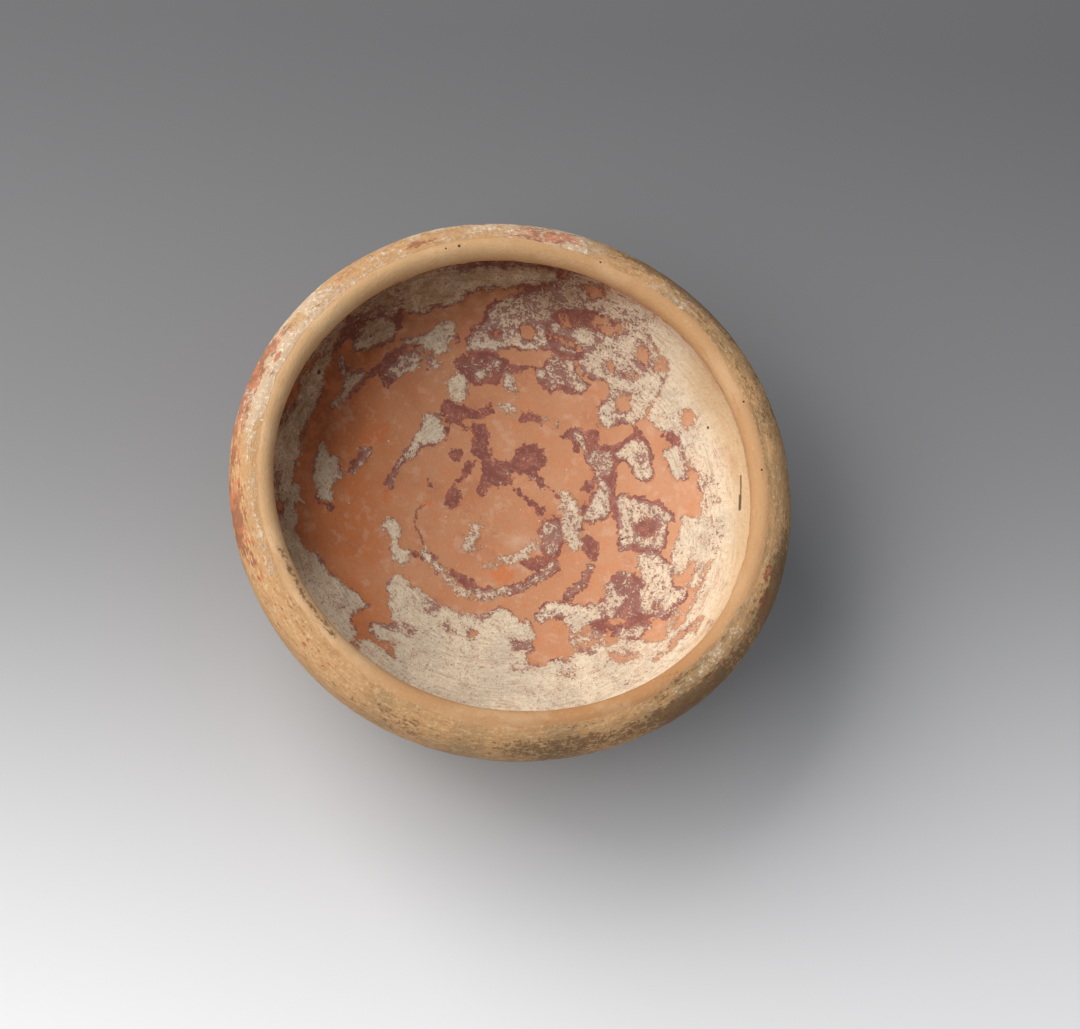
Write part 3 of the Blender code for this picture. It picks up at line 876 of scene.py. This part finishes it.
def earthenware():
    """Worn clay, paint, lime crust and slip, told apart by the values kept on the surface."""
    nodes = Nodes("worn_earthenware")
    mix, step, times, noise, tinted, edge = (
        nodes.mix, nodes.step, nodes.times, nodes.noise, nodes.tinted, nodes.edge
    )
    place = nodes.place()
    other_place = nodes.vector_math("ADD", place, (0.31, 0.17, 0.05))
    turned_place = nodes.add("ShaderNodeAttribute", attribute_name="turned").outputs["Vector"]
    drawn_out = nodes.vector_math("MULTIPLY", turned_place, (1.0, 0.25, 0.25))
    fine, fine_too = noise(place, 0.0010, 5, 0.66), noise(other_place, 0.0010, 5, 0.66)
    patchy, patchy_too = noise(place, 0.0030, 4, 0.6), noise(other_place, 0.0034, 4, 0.6)
    dust, dust_too = noise(place, 0.00046, 3, 0.6), noise(other_place, 0.00050, 3, 0.6)
    cloudy = noise(place, 0.012, 4, 0.55)
    streaks = noise(turned_place, 0.0011, 4, 0.6)
    fine_streaks = noise(turned_place, 0.00042, 3, 0.6)
    turning = noise(drawn_out, 0.00055, 3, 0.6)
    line_place = nodes.math("ABSOLUTE", noise(turned_place, 0.0017, 3, 0.55, 0.4))
    lines = times(step(line_place, 0.045, 0.0), step(patchy_too, 0.0, 0.25))

    # Bare clay: deeper at the left as painted shade and paler at the right as painted light, broad soft
    # changes of tone, faint turning streaks and dust
    body = mix(nodes.value("shaded_side_clay"), CLAY, CLAY_PAINTED_SHADE)
    body = mix(times(nodes.value("lit_side_clay"), 0.8), body, CLAY_PALE)
    body = tinted(
        body,
        (cloudy, -0.05, -0.45, 0.40, CLAY_SHADOW), (cloudy, 0.10, 0.50, 0.45, CLAY_PALE),
        (edge("bright_clay", (fine, 0.12)), 0.35, 0.75, 0.75, CLAY_BRIGHT),
        (patchy, 0.0, 0.5, 0.30, CLAY_BRIGHT), (patchy_too, 0.1, 0.5, 0.30, CRUST_ROSY),
        (streaks, 0.15, 0.55, 0.22, CLAY_PALE), (fine, 0.25, 0.60, 0.16, CRUST_ROSY),
        (dust, 0.42, 0.62, 0.40, CRUST_ROSY), (dust_too, 0.42, 0.62, 0.30, PAINT_FADED),
    )

    # Paint, thin in places, with flecks where it has gone, and hazy with lime under broken crust
    crust = nodes.value("crust")
    painted = step(edge("paint", (fine_too, 0.36), (patchy_too, 0.26), (dust, 0.10)), 0.46, 0.55)
    tone = tinted(
        PAINT_DARK,
        (patchy, -0.2, 0.3, 1, PAINT), (fine, 0.10, 0.45, 0.7, PAINT_FADED),
        (nodes.weighted((dust_too, 1), (patchy, 0.3)), 0.38, 0.56, 0.65, CRUST_ROSY),
        (crust, 0.30, 0.58, 0.42, PAINT_HAZE),
    )
    body = mix(times(painted, 0.92), body, tone)

    # Lime crust, broken up where it is thin, with the paint showing through in specks
    calm = nodes.value("calm")
    break_up = times(
        nodes.weighted((fine, 0.42), (patchy, 0.24), (streaks, 0.30), (dust, 0.30)),
        step(crust, 0.0, 0.35, 0.35, 1.0), step(calm, 0, 1, 1.0, 0.35),
    )
    crust_edge = nodes.add_up(crust, break_up)
    crusted, thick = step(crust_edge, 0.47, 0.54), step(crust_edge, 0.50, 0.92)
    broken = step(patchy, -0.25, 0.30, 0.15, 1.0)
    chalk = tinted(
        CRUST_GREY,
        (cloudy, -0.3, 0.2, 1, CRUST), (patchy_too, 0.05, 0.5, 0.40, CRUST_ROSY),
        (fine_too, 0.10, 0.45, 0.65, CRUST_LIGHT), (fine_too, -0.10, -0.50, 0.60, CRUST_SHADE),
    )
    chalk = mix(times(step(turning, 0.10, 0.50, 0, 0.42), broken), chalk, CRUST_LIGHT)
    chalk = mix(times(step(turning, -0.12, -0.45, 0, 0.55), broken), chalk, CRUST_LINE)
    chalk = tinted(chalk, (crust, 0.85, 0.55, 0.35, CRUST_ROSY))
    chalk = mix(times(lines, 0.60), chalk, CRUST_STAIN)
    through = nodes.weighted((dust_too, 1), (thick, -0.22), (calm, -0.5), (patchy, -0.15))
    chalk = tinted(
        chalk,
        (calm, 0.1, 0.9, 0.8, CREAM_WASH), (through, 0.02, 0.22, 0.75, PAINT_FADED),
        (thick, 0.6, 0.0, 0.35, CRUST_STAIN),
    )
    body = mix(crusted, body, chalk)
    haze = times(nodes.value("thin_crust"), step(patchy_too, -0.6, 0.3, 0.35, 1.0))
    body = mix(times(haze, 0.42), body, CRUST_ROSY)
    # Painted shade, broken up by noise, multiplied into the inside under the lip at the upper left and the
    # left
    painted_shade_share = times(nodes.value("painted_shade"), step(patchy, -0.6, 0.4, 0.65, 1.0))
    body = mix(times(painted_shade_share, 0.85), body, PAINTED_SHADE_TONE, "MULTIPLY")

    # The lip's bare tan roll, darker and warmer as painted shade on the side turned from the lamps, with
    # dark specks and a line of painted shade down its inner edge at the lower left
    far_side_shade = nodes.value("far_side_shade")
    rim = tinted(
        mix(far_side_shade, LIP, LIP_PAINTED_SHADE),
        (cloudy, 0.0, 0.5, 0.25, LIP_PALE), (streaks, 0.15, 0.60, 0.30, LIP_BROWN),
        (fine_too, 0.20, 0.55, 0.20, LIP_PALE), (dust, 0.36, 0.56, 0.35, LIP_BROWN),
    )
    # Dark specks on the tan lip, and the painted shade line down its inner edge at the lower left
    line_edge = edge("dark_line", (fine, 0.35), (fine_streaks, 0.2))
    body = tinted(
        body,
        (edge("tan_lip", (fine, 0.15)), 0.35, 0.65, 1, rim), (line_edge, 0.35, 0.70, 0.85, AGE_AND_SHADE_BROWN),
    )

    # Worn slip and age on the outside, olive in cloudy patches as painted shade on the side turned from the
    # lamps
    # Painted shade: olive where the cloudy noise is low, on the side turned from the lamps
    olive_shade = times(step(cloudy, 0.3, -0.3), step(far_side_shade, 0.15, 0.6))
    cream = edge("cream_slip", (fine, 0.34), (fine_streaks, 0.25), (patchy_too, 0.20))
    red = edge("red_slip", (fine_streaks, 0.28), (patchy, 0.22), (fine, 0.14))
    age = edge("dark_age", (fine, 0.40), (dust_too, 0.30), (fine_streaks, 0.30))
    # Pale flaked slip, and the thin painted highlight down the left of the lip by the groove
    flakes_and_highlight = edge("pale_flakes_and_highlight", (fine, 0.42), (dust_too, 0.22), (patchy, 0.20))
    cream_on, age_on = step(cream, 0.44, 0.66), step(age, 0.48, 0.76)
    flakes_and_highlight_on = step(flakes_and_highlight, 0.50, 0.80, 0, 0.72)
    outer = tinted(
        mix(olive_shade, OUTER_CLAY, OUTER_OLIVE_SHADE),
        (streaks, 0.0, 0.5, 0.45, LIP_BROWN), (fine_streaks, 0.12, 0.50, 0.38, LIP_BROWN),
        (fine_streaks, -0.15, -0.50, 0.30, LIP_PALE), (fine_too, 0.15, 0.45, 0.38, LIP_PALE),
    )
    cream_tone = tinted(SLIP_CREAM, (fine_too, 0.0, 0.6, 1, CRUST_LIGHT))
    red_tone = tinted(SLIP_BROWN, (patchy_too, -0.2, 0.3, 1, SLIP_RED))
    age_tone = tinted(AGE, (patchy_too, -0.2, 0.3, 1, AGE_AND_SHADE_BROWN))
    flake_and_highlight_tone = tinted(CRUST_GREY, (fine_too, 0.0, 0.6, 1, CRUST_LIGHT))
    outer = mix(times(cream_on, 0.8), outer, cream_tone)
    outer = tinted(outer, (red, 0.44, 0.64, 0.85, red_tone))
    outer = mix(times(age_on, 0.72), outer, age_tone)
    outer = mix(flakes_and_highlight_on, outer, flake_and_highlight_tone)
    outer_share = step(edge("beyond", (fine, 0.18)), 0.40, 0.62)
    body = mix(outer_share, body, outer)

    # Pits, the short crack in the wall, thin lines of paint and stain, and the scratch across the lip
    painted_lines = nodes.fine_lines(nodes.stirred(place, 0.0016, 0.0022), PAINT_LINES)
    body = mix(times(painted_lines, step(fine, -0.5, 0.2, 0.35, 1)), body, PAINT_DARK)
    stained = nodes.fine_lines(nodes.stirred(place, 0.0030, 0.0030), STAIN_LINES)
    stained = times(stained, step(nodes.add_up(fine_too, patchy), -0.5, 0.5, 0.3, 1))
    body = mix(stained, body, SLIP_RED)
    dents = nodes.math("MAXIMUM", nodes.fine_lines(place, CRACK_LINES), nodes.spots(place, PITS))
    body = mix(times(dents, 0.95), body, AGE_DEEP)
    scratches = nodes.math("MAXIMUM", nodes.fine_lines(place, SCRATCH_LINES), nodes.spots(place, SPECKS))
    body = mix(scratches, body, CRUST_LIGHT)

    shader = nodes.shader
    nodes.feed(shader.inputs["Base Color"], body)
    rough = nodes.add_up(0.74, nodes.weighted((painted, -0.06), (crusted, 0.14), (outer_share, 0.06)))
    nodes.feed(shader.inputs["Roughness"], rough)
    shader.inputs["Specular IOR Level"].default_value = 0.30

    # Fine relief, in metres: the crust stands up from the clay, and everything has a grain
    inner_share = nodes.math("SUBTRACT", 1.0, outer_share)
    lump = nodes.weighted(
        (crusted, 0.00016), (crusted, fine, 0.00009), (crusted, dust, 0.00004), (crusted, lines, -0.00006),
        (fine_too, 0.00003), (dust_too, 0.000018), (fine_streaks, 0.000022),
        (painted, inner_share, 0.00003), (cream_on, outer_share, 0.00006),
        (flakes_and_highlight_on, outer_share, 0.00006), (age_on, outer_share, -0.00008), (outer_share, fine, 0.00007),
        (dents, -0.0004), (scratches, -0.0001),
    )
    bump = nodes.add("ShaderNodeBump")
    bump.inputs["Strength"].default_value = 0.9
    bump.inputs["Distance"].default_value = 1.0
    nodes.feed(bump.inputs["Height"], lump)
    nodes.feed(shader.inputs["Normal"], bump.outputs["Normal"])
    return nodes.material


# The floor's side, where its grey levels start and end up the photograph, in metres, and the levels
# themselves, each with its share of the way from near to far
FLOOR_SIZE = 8.0
FLOOR_NEAR = -0.14
FLOOR_FAR = 0.14
# The grey levels are painted shade: the paper darkens away from the camera as the lamps' light falls off
FLOOR_PAINTED_SHADE_TONES = ((0.0, 236), (0.25, 202), (0.5, 136), (0.75, 122), (1.0, 100))

# The soft lamps, in metres, and the even light of the room
LAMP_DISTANCE = 1.2
LAMP_SIZE = 0.9
LAMP_AIM_HEIGHT = 0.02
LAMP_TINT = (1.0, 0.975, 0.94)
ROOM_TINT = (0.90, 0.95, 1.0)
ROOM_STRENGTH = 0.38


def lay_floor():
    """A pale sweep of paper, with painted shade that darkens it away from the camera."""
    mesh = bpy.data.meshes.new("floor")
    half = FLOOR_SIZE / 2
    corners = [(x * half, y * half, 0) for x, y in ((-1, -1), (1, -1), (1, 1), (-1, 1))]
    mesh.from_pydata(corners, [], [(0, 1, 2, 3)])
    floor = bpy.data.objects.new("floor", mesh)
    bpy.context.scene.collection.objects.link(floor)
    nodes = Nodes("paper")
    up_the_photo = (-math.sin(VIEW_ROLL), math.cos(VIEW_ROLL), 0)
    along = nodes.vector_math("DOT_PRODUCT", nodes.place(), up_the_photo)
    depth = FLOOR_FAR - FLOOR_NEAR
    ramp = nodes.add("ShaderNodeValToRGB")
    ramp.color_ramp.interpolation = "B_SPLINE"
    nodes.feed(ramp.inputs["Fac"], nodes.math("MULTIPLY_ADD", along, 1 / depth, -FLOOR_NEAR / depth))
    stops = ramp.color_ramp.elements
    while len(stops) < len(FLOOR_PAINTED_SHADE_TONES):
        stops.new(0.5)
    for stop, (spot, level) in zip(stops, FLOOR_PAINTED_SHADE_TONES):
        stop.position = spot
        stop.color = (*colour(level, level, level + 2), 1)
    nodes.feed(nodes.shader.inputs["Base Color"], ramp.outputs["Color"])
    nodes.shader.inputs["Roughness"].default_value = 0.85
    nodes.shader.inputs["Specular IOR Level"].default_value = 0.1
    mesh.materials.append(nodes.material)
    return floor


def add_lamp(name, angle, rise, power):
    """A square soft lamp that faces the bowl, at an angle in the photograph counted from its right.

    The angle and the rise above the floor are in degrees.
    """
    turn, tilt = math.radians(angle) + VIEW_ROLL, math.radians(rise)
    level = LAMP_DISTANCE * math.cos(tilt)
    place = Vector((level * math.cos(turn), level * math.sin(turn), LAMP_DISTANCE * math.sin(tilt)))
    lamp = bpy.data.lights.new(name, "AREA")
    lamp.shape = "SQUARE"
    lamp.size = LAMP_SIZE
    lamp.energy = power
    lamp.color = LAMP_TINT
    stand = bpy.data.objects.new(name, lamp)
    stand.location = place
    stand.rotation_euler = (Vector((0, 0, LAMP_AIM_HEIGHT)) - place).to_track_quat("-Z", "Y").to_euler()
    bpy.context.scene.collection.objects.link(stand)


bowl = build_bowl()
bowl.data.materials.append(earthenware())
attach(bowl, "root")
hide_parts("bowl")
lay_floor()

# Two lamps from the upper left and the left of the photograph, and the light of the room
add_lamp("key", 143, 42, 12.5)
add_lamp("side", 195, 45, 8)

scene = bpy.context.scene
scene.view_settings.view_transform = "Standard"
world = bpy.data.worlds.new("room")
world.use_nodes = True
background = world.node_tree.nodes["Background"]
background.inputs["Color"].default_value = (*ROOM_TINT, 1)
background.inputs["Strength"].default_value = ROOM_STRENGTH
scene.world = world

lens = bpy.data.cameras.new("camera")
lens.sensor_fit = "HORIZONTAL"
lens.sensor_width = SENSOR_WIDTH
lens.lens = LENS
camera = bpy.data.objects.new("camera", lens)
view_turn = Matrix(np.stack((VIEW_RIGHT, VIEW_UP, VIEW_BACK), axis=1).tolist())
camera.matrix_world = Matrix.LocRotScale(Vector(CAMERA_PLACE), view_turn, None)
scene.collection.objects.link(camera)
scene.camera = camera
